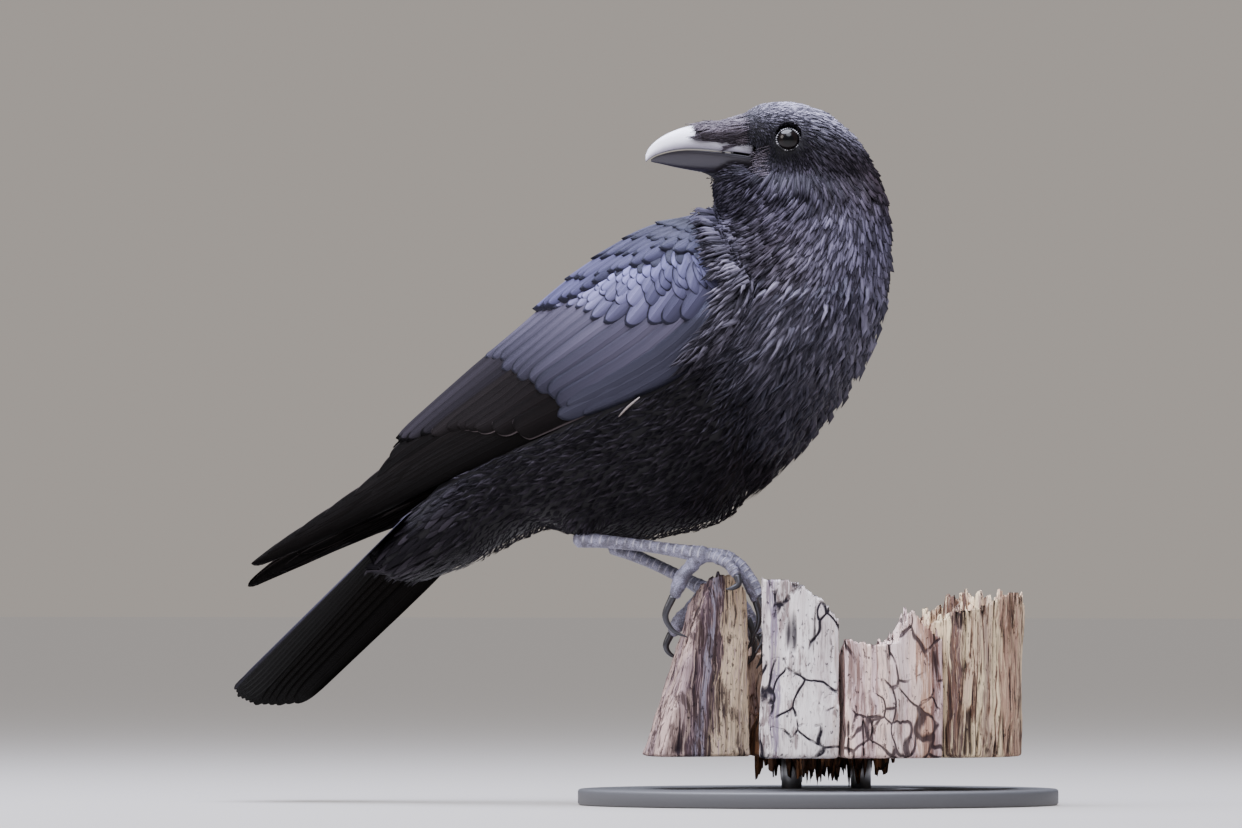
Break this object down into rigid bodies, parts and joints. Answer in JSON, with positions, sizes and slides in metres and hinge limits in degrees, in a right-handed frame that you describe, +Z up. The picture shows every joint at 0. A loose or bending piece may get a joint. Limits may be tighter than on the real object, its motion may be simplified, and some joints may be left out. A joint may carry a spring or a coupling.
{
  "type": "carrion crow model",
  "caption": "Life-size carrion crow looking back over its shoulder, gripping the broken top of a dead trunk that is held on a plain round display base.",
  "frame": {"origin": "under the middle of the bounding box, on the surface the display base stands on", "axes": "+X along the body's heading, from tail to breast; +Y to the bird's left; +Z up"},
  "size_m": [0.4278, 0.236, 0.3445],
  "materials": {
    "plumage": "glossy black body feathers",
    "flight_feathers": "black flight feathers with a blue and violet sheen",
    "bill_horn": "satin black horn",
    "eye": "wet dark brown eye",
    "leg_scales": "dark grey scaled skin",
    "claw_horn": "satin dark horn",
    "weathered_wood": "bleached, cracked dead wood",
    "pink_wood": "pinkish weathered dead wood",
    "rotten_wood": "dark rotten heartwood",
    "stand_paint": "plain dark grey satin board",
    "stand_steel": "plain steel rod"
  },
  "bodies": {
    "root": {"head": "plumage", "neck": "plumage", "trunk": "plumage", "thigh_left": "plumage", "thigh_right": "plumage", "wing_left": "flight_feathers", "wing_right": "flight_feathers", "tail": "flight_feathers", "bill_upper": "bill_horn", "bill_lower": "bill_horn", "eye_left": "eye", "eye_right": "eye", "foot_left": "leg_scales", "foot_right": "leg_scales", "claw_left_hind": "claw_horn", "claw_left_inner": "claw_horn", "claw_left_middle": "claw_horn", "claw_left_outer": "claw_horn", "claw_right_hind": "claw_horn", "claw_right_inner": "claw_horn", "claw_right_middle": "claw_horn", "claw_right_outer": "claw_horn", "perch_stave_gripped": "weathered_wood", "perch_stave_white": "weathered_wood", "perch_stave_right": "weathered_wood", "perch_stave_pink": "pink_wood", "perch_stave_back": "pink_wood", "perch_heart": "rotten_wood", "stand_base": "stand_paint", "stand_rod_left": "stand_steel", "stand_rod_right": "stand_steel"}
  },
  "joints": []
}
